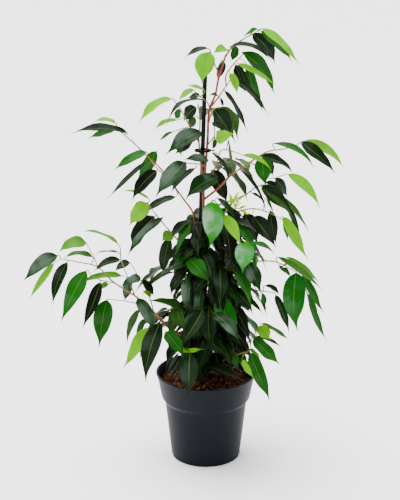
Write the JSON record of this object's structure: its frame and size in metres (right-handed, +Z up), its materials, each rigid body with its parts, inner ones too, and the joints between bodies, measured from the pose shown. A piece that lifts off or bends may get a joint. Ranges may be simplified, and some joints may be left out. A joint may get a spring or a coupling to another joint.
{
  "type": "potted weeping fig",
  "caption": "Young weeping fig shrub with thin stems tied to a stake and drooping glossy pointed leaves, growing in a round tapered nursery pot.",
  "frame": {"origin": "middle of the flat underside of the pot, on the ground", "axes": "+Z up, front of the plant towards -Y, +X to the right seen from the front"},
  "size_m": [0.5205, 0.2575, 0.734],
  "materials": {
    "pot": "satin",
    "soil": "rough, damp bark and fibre potting mix",
    "stake": "satin",
    "tie": "satin",
    "bark": "fine bark",
    "leaf": "waxy satin leaf"
  },
  "bodies": {
    "root": {"pot": "pot", "soil": "soil", "stake": "stake", "upper_tie": "tie", "lower_tie": "tie", "main_stem": "bark", "second_stem": "bark", "crown_spray": "leaf", "crown_left_spray": "leaf", "right_leader": "leaf", "crown_side_spray": "leaf", "left_leader": "leaf", "centre_left_spray": "leaf", "centre_right_spray": "leaf", "upper_right_spray": "leaf", "right_branch": "leaf", "right_under_spray": "leaf", "right_middle_spray": "leaf", "right_lower_spray": "leaf", "young_tuft": "leaf", "front_middle_spray": "leaf", "front_right_spray": "leaf", "right_low_branch": "leaf", "right_low_spray": "leaf", "front_low_spray": "leaf", "right_foot_spray": "leaf", "rim_right_spray": "leaf", "pot_front_spray": "leaf", "low_left_branch": "leaf", "low_left_upper_spray": "leaf", "low_left_middle_spray": "leaf", "low_left_inner_spray": "leaf", "low_left_hanging_spray": "leaf", "low_left_light_spray": "leaf", "left_foot_spray": "leaf", "middle_left_branch": "leaf", "inner_left_spray": "leaf", "inner_low_spray": "leaf", "upper_left_tip_spray": "leaf", "upper_left_spray": "leaf", "back_low_spray": "leaf", "back_low_left_spray": "leaf", "back_middle_spray": "leaf", "back_left_spray": "leaf", "back_right_spray": "leaf", "back_upper_spray": "leaf", "back_high_spray": "leaf", "back_crown_spray": "leaf", "inner_front_low_spray": "leaf", "inner_right_low_spray": "leaf", "inner_left_low_spray": "leaf", "inner_front_spray": "leaf", "inner_right_spray": "leaf", "inner_front_right_spray": "leaf", "inner_right_middle_spray": "leaf", "inner_right_upper_spray": "leaf"}
  },
  "joints": []
}
